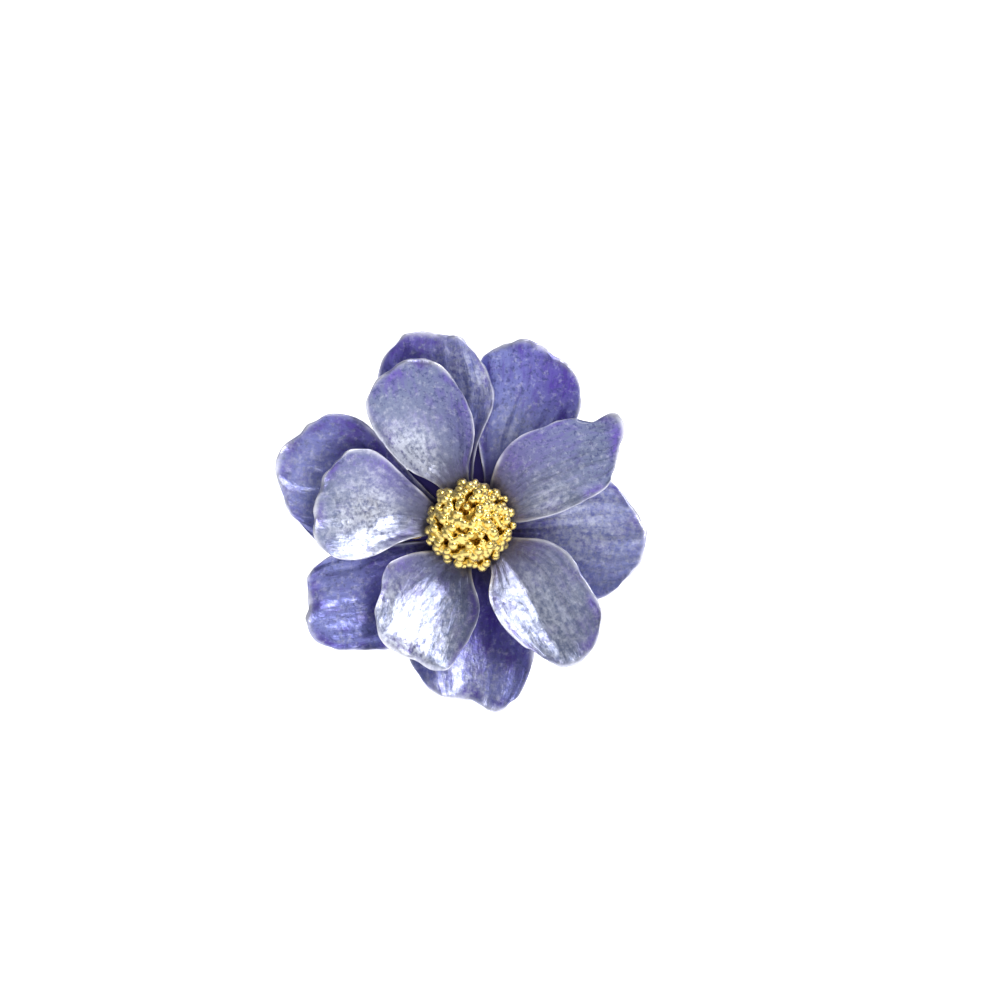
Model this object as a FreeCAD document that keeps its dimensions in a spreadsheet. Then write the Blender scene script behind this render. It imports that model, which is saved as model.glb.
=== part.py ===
import FreeCAD, Part
import math
import os

import Sketcher

# A flower hat pin in millimetres: two layers of pressed metal petals and a cast stamen cluster are
# riveted to a round back plate, and two pointed posts with locking clutches hold it to a hat.
# The flower faces -Y and +Z is up. The origin is on the flower's axis, in the rear face of the back
# plate, which lies against the hat. "Front" is a distance in front of that face, along -Y.

SIZES = {
    # back plate and what is stacked on it
    "plate_radius": 9.0,
    "plate_thickness": 0.9,
    "plate_chamfer": 0.25,
    "claw_thickness": 0.6,
    "claw_start": 1.5,
    "claw_end": 3.2,
    "claw_start_width": 1.3,
    "claw_end_width": 2.4,
    "petal_rim_share": 0.7,
    "spacer_radius": 3.2,
    "spacer_thickness": 1.1,
    "rivet_radius": 1.0,
    "rivet_head_radius": 1.8,
    "rivet_head_depth": 0.6,
    "rivet_into_cluster": 1.6,
    # stamen cluster
    "cluster_base_radius": 2.9,
    "dome_radius": 3.3,
    "dome_front": 4.3,
    "dome_flatten": 0.74,
    "stamen_reach": 4.55,
    "stamen_radius": 0.26,
    "bead_radius": 0.42,
    # posts
    "post_spacing": 12.0,
    "post_radius": 0.55,
    "post_length": 8.2,
    "post_point_length": 1.1,
    "post_land_radius": 0.75,
    "post_notch_radius": 0.44,
    "post_notch_width": 0.54,
    "post_notch_pitch": 2.2,
    "post_head_radius": 1.5,
    "post_head_thickness": 0.45,
    # clutches, measured from the clutch's own front face
    "felt_thickness": 3.0,
    "flange_radius": 4.6,
    "flange_thickness": 0.8,
    "edge_chamfer": 0.2,
    "mouth_radius": 0.75,
    "barrel_radius": 2.6,
    "barrel_bore": 1.9,
    "barrel_end": 5.3,
    "barrel_lip": 0.4,
    "barrel_lip_bore": 1.4,
    "cone_front_radius": 1.33,
    "cone_end": 3.08,
    "ball_radius": 0.5,
    "ball_position": 1.9,
    "ball_clearance": 0.02,
    "ball_count": 3,
    "cage_front": 1.1,
    "cage_radius": 1.28,
    "cage_shoulder_front": 2.6,
    "cage_shoulder_radius": 1.65,
    "cage_shoulder_end": 3.0,
    "cage_tail_radius": 1.15,
    "cage_bore_end": 5.5,
    "cage_spigot_radius": 0.5,
    "spring_wire_radius": 0.11,
    "spring_coil_radius": 1.45,
    "spring_turns": 4.0,
    "cap_front": 1.7,
    "cap_back": 6.0,
    "cap_end": 6.6,
    "cap_bore": 2.8,
    "cap_radius": 3.5,
    "cap_bead_radius": 3.95,
    "cap_bead_width": 0.8,
}

# Each petal: the way its claw points, in degrees anticlockwise from +X as seen from the front; how
# deeply it is dished; how deep its crease is, where across the petal it runs (0 to 1) and how wide it
# is; which two points of its rim are the ends of its tip; and its rim, point by point from the
# anticlockwise side to the clockwise side, as (x, z, front).
OUTER_PETALS = [
    (105, 0.4, 0.3, 0.5, 0.15, (4, 8), [
        (-3.4, 5.2, 1.9), (-7.4, 9.2, 2.6), (-9.7, 13.0, 3.3), (-9.9, 16.1, 4.0), (-8.2, 19.4, 4.7),
        (-6.1, 20.75, 5.0), (-3.6, 20.6, 4.8), (-1.2, 20.3, 4.9), (0.6, 18.4, 4.8), (2.1, 15.9, 4.5),
        (2.65, 13.9, 4.1), (2.1, 11.6, 3.5), (1.1, 9.4, 2.9), (0.4, 6.0, 2.0)]),
    (45, 0.4, 0.25, 0.5, 0.2, (4, 9), [
        (1.5, 5.6, 1.7), (0.9, 9.0, 1.85), (1.1, 12.0, 2.2), (1.1, 15.0, 2.8), (1.3, 18.1, 3.4),
        (3.6, 19.4, 4.0), (6.1, 20.1, 4.5), (8.6, 18.7, 4.4), (10.9, 16.9, 4.5), (11.85, 14.4, 4.2),
        (11.5, 11.4, 3.5), (9.0, 7.6, 2.6), (5.4, 4.2, 1.8)]),
    (-15, 0.4, 0.4, 0.4, 0.12, (3, 7), [
        (5.4, 1.9, 1.9), (9.4, 4.6, 2.7), (13.0, 5.6, 3.4), (15.8, 4.2, 3.9), (17.9, 1.3, 4.2),
        (19.05, -1.4, 4.5), (18.0, -4.3, 4.2), (15.9, -6.7, 4.1), (13.2, -8.1, 3.6), (9.6, -7.2, 2.9),
        (5.0, -4.0, 1.9)]),
    (-75, 0.4, 0.3, 0.45, 0.2, (4, 8), [
        (2.6, -5.2, 1.9), (5.4, -8.6, 2.5), (6.9, -12.2, 3.0), (6.5, -15.9, 3.7), (4.7, -19.0, 4.3),
        (2.5, -20.05, 4.5), (0.4, -19.0, 3.9), (-2.6, -18.5, 4.1), (-5.0, -16.9, 3.9),
        (-6.5, -14.3, 3.4), (-5.4, -10.2, 2.7), (-1.9, -5.6, 1.9)]),
    (225, 0.3, 0.45, 0.42, 0.12, (4, 9), [
        (-3.0, -4.9, 1.9), (-6.2, -9.4, 2.5), (-8.2, -13.1, 3.3), (-11.4, -13.4, 3.6),
        (-14.6, -13.3, 4.1), (-17.1, -12.0, 4.4), (-17.6, -10.1, 4.3), (-17.3, -8.3, 3.9),
        (-17.65, -6.5, 4.1), (-16.5, -4.3, 3.9), (-14.2, -2.9, 3.5), (-10.0, -2.2, 2.7),
        (-5.2, -1.7, 1.9)]),
    (165, 0.4, 0.3, 0.55, 0.2, (4, 9), [
        (-5.0, -0.4, 1.9), (-9.6, -1.0, 2.7), (-13.6, -1.6, 3.3), (-16.0, -2.1, 3.7),
        (-17.6, -0.5, 3.9), (-19.4, 1.6, 4.4), (-20.6, 4.8, 4.6), (-20.7, 7.5, 4.9), (-18.2, 10.0, 4.6),
        (-15.6, 11.8, 4.5), (-12.6, 11.8, 4.0), (-10.0, 9.9, 3.3), (-6.6, 5.8, 2.4), (-4.2, 3.4, 1.9)]),
]
INNER_PETALS = [
    (108, 1.8, 0.2, 0.5, 0.2, (4, 8), [
        (-3.3, 4.1, 3.8), (-6.2, 5.7, 5.2), (-8.9, 8.3, 6.6), (-10.8, 11.6, 7.5), (-10.6, 14.3, 8.0),
        (-8.4, 16.8, 8.4), (-5.9, 17.95, 8.7), (-2.9, 16.8, 8.5), (-0.8, 14.2, 8.1), (0.4, 11.3, 7.4),
        (0.45, 8.8, 6.2), (-0.1, 6.2, 4.6)]),
    (36, 0.9, 0.2, 0.4, 0.2, (6, 10), [
        (2.3, 5.0, 4.1), (3.2, 7.4, 5.4), (5.2, 9.5, 6.7), (8.4, 10.85, 7.5), (10.6, 11.4, 7.8),
        (12.5, 10.8, 7.5), (14.3, 11.7, 7.8), (15.6, 11.9, 8.1), (16.5, 10.6, 8.0), (16.0, 8.2, 7.5),
        (15.2, 4.9, 6.6), (12.4, 2.6, 5.9), (9.0, 1.1, 5.1), (6.6, 0.5, 4.3), (4.7, 0.3, 3.7)]),
    (-40, 1.1, 0.6, 0.55, 0.12, (5, 8), [
        (5.2, -1.3, 3.8), (8.0, -1.5, 5.0), (10.7, -3.1, 6.1), (12.5, -6.0, 6.9), (13.95, -8.7, 7.3),
        (13.9, -11.2, 7.6), (12.6, -14.0, 7.5), (10.2, -15.2, 7.3), (7.6, -14.0, 7.0),
        (4.7, -12.0, 6.8), (2.6, -9.3, 6.3), (2.0, -7.2, 5.3), (2.3, -5.0, 4.1)]),
    (-106, 1.7, 0.2, 0.5, 0.25, (4, 8), [
        (0.3, -5.6, 4.2), (0.9, -7.6, 5.3), (1.1, -9.4, 6.2), (0.1, -11.8, 7.0), (-1.5, -14.4, 7.4),
        (-3.0, -15.6, 7.5), (-5.6, -14.6, 7.4), (-9.0, -12.6, 7.4), (-10.1, -9.6, 7.4),
        (-9.6, -6.9, 7.0), (-9.2, -4.7, 6.9), (-7.0, -3.2, 5.8), (-4.2, -2.7, 4.1)]),
    (176, 1.8, 0.2, 0.48, 0.25, (4, 8), [
        (-5.2, -1.2, 3.9), (-7.6, -1.9, 5.1), (-9.6, -3.0, 6.2), (-12.2, -3.75, 6.9),
        (-15.0, -3.1, 7.3), (-16.6, -0.8, 7.6), (-16.5, 1.8, 7.7), (-15.8, 4.6, 7.7),
        (-14.2, 6.9, 7.6), (-12.0, 8.2, 7.3), (-10.2, 8.0, 6.9), (-7.6, 5.9, 5.9), (-4.6, 3.1, 4.1)]),
]
# Rings of stamens on the dome: how many, how far above the dome's equator in degrees, and the turn
# that the ring starts at.
STAMEN_RINGS = [(18, 14, 0), (14, 38, 9), (9, 60, 4), (3, 80, 30)]

BLADE_ROWS = 15
BLADE_COLUMNS = 21
SEW_LIMIT = 0.001

document = FreeCAD.newDocument("flower_hat_pin")
sheet = document.addObject("Spreadsheet::Sheet", "Sizes")
for row, (alias, value) in enumerate(SIZES.items(), start=1):
    sheet.set(f"A{row}", alias)
    sheet.set(f"B{row}", str(value))
    sheet.setAlias(f"B{row}", alias)
document.recompute()

subparts = []


def size(alias):
    """A driving dimension, read from the sheet."""
    return float(getattr(sheet, alias))


def cell(text):
    """An expression over the sheet: plain words in it become cells."""
    words = text.replace("(", "( ").replace(")", " )").split()
    return " ".join("Sizes." + word if word in SIZES else word for word in words)


def amount(text):
    """What such an expression comes to."""
    return float(sheet.evalExpression(cell(text)))


def finished(piece, label):
    """Names a sub-part and keeps it for writing."""
    piece.Label = label
    subparts.append(piece)
    return piece


def moved(piece, x="0", y="0"):
    """Binds a piece's place across (x) and along the posts (y)."""
    piece.setExpression("Placement.Base.x", cell(x))
    piece.setExpression("Placement.Base.y", cell(y))
    return piece


def turned(name, corners):
    """A lathe-turned body about the Y direction: corners are (radius, distance along it)."""
    body = document.addObject("PartDesign::Body", name)
    plane = next(item for item in body.Origin.OriginFeatures if item.Role == "XY_Plane")
    sketch = body.newObject("Sketcher::SketchObject", name + "_profile")
    sketch.AttachmentSupport = [(plane, "")]
    sketch.MapMode = "FlatFace"
    points = [FreeCAD.Vector(amount(across), amount(along), 0) for across, along in corners]
    for start, end in zip(points, points[1:] + points[:1]):
        sketch.addGeometry(Part.LineSegment(start, end))
    count = len(points)
    for line in range(count):
        sketch.addConstraint(Sketcher.Constraint("Coincident", line, 2, (line + 1) % count, 1))
    for line, (across, along) in enumerate(corners):
        for kind, text, axis in (("DistanceX", across, -2), ("DistanceY", along, -1)):
            if amount(text) == 0:
                sketch.addConstraint(Sketcher.Constraint("PointOnObject", line, 1, axis))
                continue
            rule = Sketcher.Constraint(kind, -1, 1, line, 1, amount(text))
            sketch.setExpression(f"Constraints[{sketch.addConstraint(rule)}]", cell(text))
    lathe = body.newObject("PartDesign::Revolution", name + "_turned")
    lathe.Profile = sketch
    lathe.ReferenceAxis = (sketch, ["V_Axis"])
    lathe.Angle = 360
    return body


def cylinder(name, radius, length):
    """A plain cylinder along Z with bound sizes."""
    rod = document.addObject("Part::Cylinder", name)
    rod.setExpression("Radius", cell(radius))
    rod.setExpression("Height", cell(length))
    return rod


def cut(name, base, tool):
    """One solid less another."""
    result = document.addObject("Part::Cut", name)
    result.Base = base
    result.Tool = tool
    return result


def compound(name, pieces):
    """Several objects kept together."""
    group = document.addObject("Part::Compound", name)
    group.Links = pieces
    return group


def back_plate():
    """The round plate: chamfered edges, a countersink behind for the rivet, two stepped post holes."""
    disc = turned("plate_disc", [
        ("rivet_head_radius", "0"),
        ("plate_radius - plate_chamfer", "0"),
        ("plate_radius", "plate_chamfer"),
        ("plate_radius", "plate_thickness - plate_chamfer"),
        ("plate_radius - plate_chamfer", "plate_thickness"),
        ("rivet_radius", "plate_thickness"),
        ("rivet_radius", "rivet_head_depth"),
    ])
    disc.Placement = FreeCAD.Placement(FreeCAD.Vector(), FreeCAD.Rotation(FreeCAD.Vector(0, 0, 1), 180))
    seats = []
    for side, sign in (("left", "-1"), ("right", "1")):
        seat = turned("post_seat_" + side, post_head() + [("0", "plate_thickness")])
        seats.append(moved(seat, sign + " * post_spacing / 2", "0 - plate_thickness"))
    finished(cut("plate", disc, compound("post_seats", seats)), "back_plate")


def post_head():
    """A post's flat head and its press-fit land, from the front face of the head."""
    return [
        ("0", "0"),
        ("post_head_radius", "0"),
        ("post_head_radius", "post_head_thickness"),
        ("post_land_radius", "post_head_thickness"),
        ("post_land_radius", "plate_thickness"),
    ]


def post(side, x):
    """A tack post: its head lies in the plate, and its shank has two ring notches and a blunt point.

    The clutch's balls sit in the notch nearer the point, and in the other one on a thinner cloth.
    """
    corners = post_head() + [("post_radius", "plate_thickness")]
    balls = "plate_thickness + felt_thickness + ball_position"
    for middle in (f"{balls} - post_notch_pitch", balls):
        corners += [
            ("post_radius", f"{middle} - post_notch_width / 2"),
            ("post_notch_radius", middle),
            ("post_radius", f"{middle} + post_notch_width / 2"),
        ]
    corners += [
        ("post_radius", "plate_thickness + post_length - post_point_length"),
        ("post_radius / 4", "plate_thickness + post_length"),
        ("0", "plate_thickness + post_length"),
    ]
    finished(moved(turned("post_" + side, corners), x, "0 - plate_thickness"), "post_" + side)


def layer_spacer():
    """The thick washer between the two layers of claws."""
    washer = turned("spacer", [
        ("rivet_radius", "0"),
        ("spacer_radius", "0"),
        ("spacer_radius", "spacer_thickness"),
        ("rivet_radius", "spacer_thickness"),
    ])
    y = "0 - plate_thickness - claw_thickness - spacer_thickness"
    finished(moved(washer, "0", y), "layer_spacer")


def centre_rivet():
    """The rivet that clamps the stack: flush countersunk head behind, shank up into the cluster."""
    stack = "plate_thickness + 2 * claw_thickness + spacer_thickness + rivet_into_cluster"
    rivet = turned("rivet", [
        ("0", "0"),
        ("rivet_head_radius", "0"),
        ("rivet_radius", "rivet_head_depth"),
        ("rivet_radius", stack),
        ("0", stack),
    ])
    rivet.Placement = FreeCAD.Placement(FreeCAD.Vector(), FreeCAD.Rotation(FreeCAD.Vector(0, 0, 1), 180))
    finished(rivet, "centre_rivet")


def stamen_cluster():
    """The casting in the middle: a flat foot, a flattened dome and rings of bead-tipped rods."""
    foot_front = size("plate_thickness") + 2 * size("claw_thickness") + size("spacer_thickness")
    forward = FreeCAD.Vector(0, -1, 0)
    middle = FreeCAD.Vector(0, -size("dome_front"), 0)
    foot = Part.makeCylinder(
        size("cluster_base_radius"),
        size("dome_front") - foot_front,
        FreeCAD.Vector(0, -foot_front, 0),
        forward,
    )
    flatten = FreeCAD.Matrix()
    flatten.scale(1, size("dome_flatten"), 1)
    ball = Part.makeSphere(size("dome_radius")).transformGeometry(flatten)
    ball.translate(middle)
    front_half = Part.makeCylinder(2 * size("dome_radius"), 2 * size("dome_radius"), middle, forward)
    pieces = [ball.common(front_half)]
    for count, rise, first in STAMEN_RINGS:
        for number in range(count):
            turn = math.radians(first + 360 * number / count)
            out = math.cos(math.radians(rise))
            up = math.sin(math.radians(rise)) * size("dome_flatten")
            way = FreeCAD.Vector(out * math.cos(turn), -up, out * math.sin(turn))
            tip = middle + way * size("stamen_reach")
            pieces.append(Part.makeCylinder(
                size("stamen_radius"), way.Length * size("stamen_reach") * 0.6, tip, way * -1))
            pieces.append(Part.makeSphere(size("bead_radius"), tip))
    bore_depth = size("rivet_into_cluster")
    bore = Part.makeCylinder(
        size("rivet_radius"), bore_depth, FreeCAD.Vector(0, -foot_front, 0), forward)
    casting = document.addObject("Part::Feature", "cluster")
    casting.Shape = foot.multiFuse(pieces).cut(bore)
    casting.Placement = FreeCAD.Placement()
    finished(casting, "stamen_cluster")


class Blade:
    """A petal's curved blade: a patch between its claw, its two sides and its tip.

    Its places are (x, z, front); s runs from the claw to the tip, t from the anticlockwise side across.
    """

    def __init__(self, claw_front, turn, dish, crease, crease_at, crease_width, tip, rim):
        self.dish, self.crease = dish, crease
        self.crease_at, self.crease_width = crease_at, crease_width
        outward = FreeCAD.Vector(math.cos(math.radians(turn)), math.sin(math.radians(turn)), 0)
        sideways = FreeCAD.Vector(-outward.y, outward.x, 0) * (size("claw_end_width") / 2)
        root_front = claw_front + size("claw_thickness")
        root = outward * size("claw_end") + FreeCAD.Vector(0, 0, root_front)
        points = [root + sideways] + [FreeCAD.Vector(*place) for place in rim] + [root - sideways]
        stops = [0.0]
        for before, after in zip(points, points[1:]):
            stops.append(stops[-1] + (after - before).Length)
        self.outline = Part.BSplineCurve()
        self.outline.interpolate(Points=points, Parameters=stops)
        self.tip_start, self.tip_end = [stops[index + 1] for index in tip]
        self.end = stops[-1]
        self.corners = [points[0], points[-1], points[tip[0] + 1], points[tip[1] + 1]]
        rise = sum(place[2] for place in rim[tip[0]:tip[1] + 1]) / (tip[1] - tip[0] + 1) - root_front
        reach = ((self.corners[2] + self.corners[3]) * 0.5 - root).dot(outward)
        self.slope = math.atan2(rise, reach)
        self.outward = outward

    def point(self, s, t):
        """A place on the front face."""
        first = self.outline.value(self.tip_start * s)
        second = self.outline.value(self.end + (self.tip_end - self.end) * s)
        end = self.outline.value(self.tip_start + (self.tip_end - self.tip_start) * t)
        root = self.corners[0] * (1 - t) + self.corners[1] * t
        flat = (self.corners[0] * (1 - t) + self.corners[1] * t) * (1 - s)
        flat += (self.corners[2] * (1 - t) + self.corners[3] * t) * s
        here = first * (1 - t) + second * t + root * (1 - s) + end * s - flat
        fold = math.exp(-(((t - self.crease_at) / self.crease_width) ** 2))
        hollow = 4 * t * (1 - t) * self.dish + fold * self.crease
        here.z -= hollow * math.sin(math.pi * s) ** 2
        return here

    def face(self, depth):
        """The patch at a depth below the front face, in the part's own frame."""
        rows = []
        for row in range(BLADE_ROWS):
            s = row / (BLADE_ROWS - 1)
            thickness = size("claw_thickness") * (1 - (1 - size("petal_rim_share")) * s ** 3)
            lean = self.slope * math.sin(math.pi / 2 * s)
            back = self.outward * math.sin(lean) - FreeCAD.Vector(0, 0, math.cos(lean))
            columns = [column / (BLADE_COLUMNS - 1) for column in range(BLADE_COLUMNS)]
            line = [self.point(s, t) + back * (depth * thickness) for t in columns]
            rows.append([FreeCAD.Vector(place.x, -place.z, place.y) for place in line])
        surface = Part.BSplineSurface()
        surface.interpolate(rows)
        return surface


def edge_between(front, rear, direction, at):
    """The strip that joins the same side of two patches."""
    sides = [getattr(patch, direction + "Iso")(at) for patch in (rear, front)]
    return Part.makeRuledSurface(*[side.toShape() for side in sides])


def claw_faces(claw_front, turn):
    """The flat tongue at a petal's root, clamped in the stack: every face but the one to the blade."""
    start, end = size("claw_start"), size("claw_end")
    narrow, wide = size("claw_start_width") / 2, size("claw_end_width") / 2
    corners = [(end, wide), (start, narrow), (start, -narrow), (end, -wide)]
    rear, front = [
        [FreeCAD.Vector(along, -level, across) for along, across in corners]
        for level in (claw_front, claw_front + size("claw_thickness"))
    ]
    loops = [rear + rear[:1], front + front[:1]]
    for side in range(len(corners) - 1):
        loops.append([rear[side], rear[side + 1], front[side + 1], front[side], rear[side]])
    faces = [Part.Face(Part.makePolygon(loop)) for loop in loops]
    for face in faces:
        face.rotate(FreeCAD.Vector(), FreeCAD.Vector(0, -1, 0), turn)
    return faces


def petal(label, claw_front, turn, *form):
    """One pressed petal: a flat claw and a curved blade that thins a little towards its rim."""
    blade = Blade(claw_front, turn, *form)
    front, rear = blade.face(0), blade.face(1)
    root_end, rim_end, first_side, last_side = front.bounds()
    faces = [front.toShape(), rear.toShape(), edge_between(front, rear, "u", rim_end)]
    faces += [edge_between(front, rear, "v", at) for at in (first_side, last_side)]
    skin = Part.makeShell(faces + claw_faces(claw_front, turn))
    skin.sewShape(SEW_LIMIT)
    solid = Part.makeSolid(skin)
    if solid.Volume < 0:
        solid.reverse()
    piece = document.addObject("Part::Feature", label + "_pressed")
    piece.Shape = solid
    piece.Placement = FreeCAD.Placement()
    finished(piece, label)


def clutch_body(side, x, y):
    """The clutch's base: a wide flange and a barrel whose bore narrows in a cone towards the hat."""
    shell = turned("clutch_body_" + side, [
        ("mouth_radius", "0"),
        ("flange_radius - edge_chamfer", "0"),
        ("flange_radius", "edge_chamfer"),
        ("flange_radius", "flange_thickness - edge_chamfer"),
        ("flange_radius - edge_chamfer", "flange_thickness"),
        ("barrel_radius", "flange_thickness"),
        ("barrel_radius", "barrel_end"),
        ("barrel_lip_bore", "barrel_end"),
        ("barrel_lip_bore", "barrel_end - barrel_lip"),
        ("barrel_bore", "barrel_end - barrel_lip"),
        ("barrel_bore", "cone_end"),
        ("cone_front_radius", "flange_thickness"),
        ("mouth_radius", "flange_thickness"),
    ])
    finished(moved(shell, x, y), "clutch_body_" + side)


def ball_cage(side, x, y):
    """The sliding cage: a tube with three side pockets, a shoulder for the spring and a tail."""
    tube = turned("cage_tube_" + side, [
        ("mouth_radius", "cage_front"),
        ("cage_radius", "cage_front"),
        ("cage_radius", "cage_shoulder_front"),
        ("cage_shoulder_radius", "cage_shoulder_front"),
        ("cage_shoulder_radius", "cage_shoulder_end"),
        ("cage_tail_radius", "cage_shoulder_end"),
        ("cage_tail_radius", "cap_back"),
        ("cage_spigot_radius", "cap_back"),
        ("cage_spigot_radius", "cap_end"),
        ("0", "cap_end"),
        ("0", "cage_bore_end"),
        ("mouth_radius", "cage_bore_end"),
    ])
    drills = []
    for number in range(int(size("ball_count"))):
        drill = cylinder(f"ball_drill_{side}_{number + 1}", "ball_radius + ball_clearance", "cage_radius * 2")
        turn = FreeCAD.Rotation(FreeCAD.Vector(0, 1, 0), 360 * number / size("ball_count"))
        drill.Placement = FreeCAD.Placement(FreeCAD.Vector(), turn)
        drill.setExpression("Placement.Base.y", cell("ball_position"))
        drills.append(drill)
    cage = cut("cage_" + side, tube, compound("ball_drills_" + side, drills))
    finished(moved(cage, x, y), "ball_cage_" + side)


def clutch_balls(side, x, y):
    """Three steel balls in the cage's pockets, close to the post and to the cone."""
    balls = []
    for number in range(int(size("ball_count"))):
        ball = document.addObject("Part::Sphere", f"ball_{side}_{number + 1}")
        ball.setExpression("Radius", cell("ball_radius"))
        turn = f"360 * {number} / ball_count"
        reach = "(post_radius + ball_radius + ball_clearance)"
        ball.setExpression("Placement.Base.x", cell(f"{reach} * sin({turn})"))
        ball.setExpression("Placement.Base.y", cell("ball_position"))
        ball.setExpression("Placement.Base.z", cell(f"{reach} * cos({turn})"))
        balls.append(ball)
    finished(moved(compound("balls_" + side, balls), x, y), "clutch_balls_" + side)


def clutch_spring(side, x, y):
    """The coil spring that pushes the cage into the cone, from its shoulder to the barrel's lip."""
    coil = document.addObject("Part::Helix", "coil_" + side)
    free = "(barrel_end - barrel_lip - cage_shoulder_end - 2 * spring_wire_radius - 0.04)"
    coil.setExpression("Height", cell(free))
    coil.setExpression("Pitch", cell(f"{free} / spring_turns"))
    coil.setExpression("Radius", cell("spring_coil_radius"))
    coil.SegmentLength = 1
    wire = document.addObject("Part::Circle", "wire_" + side)
    wire.setExpression("Radius", cell("spring_wire_radius"))
    wire.Placement = FreeCAD.Placement(FreeCAD.Vector(), FreeCAD.Rotation(FreeCAD.Vector(1, 0, 0), 90))
    wire.setExpression("Placement.Base.x", cell("spring_coil_radius"))
    spring = document.addObject("Part::Sweep", "spring_" + side)
    document.recompute()
    spring.Sections = [wire]
    spring.Spine = (coil, [f"Edge{turn + 1}" for turn in range(len(coil.Shape.Edges))])
    spring.Solid = True
    spring.Frenet = True
    spring.Placement = FreeCAD.Placement(FreeCAD.Vector(), FreeCAD.Rotation(FreeCAD.Vector(1, 0, 0), -90))
    start = f"{y} + cage_shoulder_end + spring_wire_radius + 0.02"
    finished(moved(spring, x, start), "clutch_spring_" + side)


def pull_cap(side, x, y):
    """The cap that is pulled to let the post go: a cup with a grip bead, closed over the point."""
    cap = turned("pull_cap_" + side, [
        ("cap_bore", "cap_front"),
        ("cap_bead_radius - edge_chamfer", "cap_front"),
        ("cap_bead_radius", "cap_front + edge_chamfer"),
        ("cap_bead_radius", "cap_front + cap_bead_width - edge_chamfer"),
        ("cap_bead_radius - edge_chamfer", "cap_front + cap_bead_width"),
        ("cap_radius", "cap_front + cap_bead_width"),
        ("cap_radius", "cap_end - 2 * edge_chamfer"),
        ("cap_radius - 2 * edge_chamfer", "cap_end"),
        ("cage_spigot_radius", "cap_end"),
        ("cage_spigot_radius", "cap_back"),
        ("cap_bore", "cap_back"),
    ])
    finished(moved(cap, x, y), "pull_cap_" + side)


back_plate()
layer_spacer()
centre_rivet()
outer_claw_front = size("plate_thickness")
inner_claw_front = outer_claw_front + size("claw_thickness") + size("spacer_thickness")
for number, shape in enumerate(OUTER_PETALS, start=1):
    petal(f"outer_petal_{number}", outer_claw_front, *shape)
for number, shape in enumerate(INNER_PETALS, start=1):
    petal(f"inner_petal_{number}", inner_claw_front, *shape)
stamen_cluster()
for side, sign in (("left", "-1"), ("right", "1")):
    across = sign + " * post_spacing / 2"
    post(side, across)
    for make in (clutch_body, ball_cage, clutch_balls, clutch_spring, pull_cap):
        make(side, across, "felt_thickness")

document.recompute()
for item in document.Objects:
    if "Invalid" in item.State or "Error" in item.State:
        raise RuntimeError(f"{item.Label} did not compute: {item.State}")
os.makedirs("parts", exist_ok=True)
for piece in subparts:
    shape = piece.Shape
    if shape.isNull() or not shape.isValid() or not shape.Solids:
        raise RuntimeError(f"{piece.Label} is not a sound solid")
    shape.exportStep(f"parts/{piece.Label}.step")
    print(f"{piece.Label}: {len(shape.Solids)} solid, {shape.Volume:.2f} cubic mm")
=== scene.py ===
import math
import random

import bmesh
import bpy
import numpy as np
from mathutils import Matrix, Vector, noise


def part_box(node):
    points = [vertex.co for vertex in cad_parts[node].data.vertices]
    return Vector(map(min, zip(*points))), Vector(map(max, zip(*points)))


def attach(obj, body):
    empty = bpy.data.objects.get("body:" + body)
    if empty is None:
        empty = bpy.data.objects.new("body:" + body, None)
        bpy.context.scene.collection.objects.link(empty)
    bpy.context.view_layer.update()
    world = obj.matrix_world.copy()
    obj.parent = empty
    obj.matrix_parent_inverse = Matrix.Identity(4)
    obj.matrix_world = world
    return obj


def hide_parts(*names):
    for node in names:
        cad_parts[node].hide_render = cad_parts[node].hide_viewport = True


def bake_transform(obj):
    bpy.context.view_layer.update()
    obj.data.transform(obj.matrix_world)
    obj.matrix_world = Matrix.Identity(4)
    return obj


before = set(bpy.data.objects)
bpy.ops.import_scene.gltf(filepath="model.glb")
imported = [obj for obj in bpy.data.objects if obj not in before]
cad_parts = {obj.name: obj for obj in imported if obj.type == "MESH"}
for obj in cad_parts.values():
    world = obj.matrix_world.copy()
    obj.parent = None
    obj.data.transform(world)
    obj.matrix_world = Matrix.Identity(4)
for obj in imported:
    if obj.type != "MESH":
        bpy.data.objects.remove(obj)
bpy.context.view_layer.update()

# Flower hat pin, in metres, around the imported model: two layers of enamelled metal petals, a cast gold
# stamen cluster, and the plate, posts and locking clutches behind them. The flower faces -Y.

MM = 0.001


# --- Camera, backdrop and light ---------------------------------------------------------------------
# A long lens looks straight at the flower's face along +Y, a little to the right of its axis and above
# it. Behind and below it a plain white sheet rises from floor to wall in one curve.

VIEW_DISTANCE = 500 * MM
VIEW_WIDTH = 107.4 * MM
VIEW_RIGHT = 3.26 * MM
VIEW_ABOVE = 2.72 * MM
SENSOR = 36.0
camera_data = bpy.data.cameras.new("camera")
camera_data.sensor_width = SENSOR
camera_data.lens = SENSOR * VIEW_DISTANCE / VIEW_WIDTH
camera_data.clip_start = 10 * MM
camera = bpy.data.objects.new("camera", camera_data)
flower_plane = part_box("outer_petal_1")[0].y
camera.location = (VIEW_RIGHT, flower_plane - VIEW_DISTANCE, VIEW_ABOVE)
camera.rotation_euler = (math.radians(90), 0, 0)
bpy.context.scene.collection.objects.link(camera)
bpy.context.scene.camera = camera
bpy.context.scene.view_settings.view_transform = "Standard"


def new_material(name):
    """A material, its node tree and its Principled shader."""
    material = bpy.data.materials.new(name)
    material.use_nodes = True
    shader = material.node_tree.nodes["Principled BSDF"]
    return material, material.node_tree, shader


def set_inputs(node, **values):
    """Sets a node's unlinked sockets by name; an underscore stands for a space."""
    for name, value in values.items():
        node.inputs[name.replace("_", " ")].default_value = value


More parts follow.
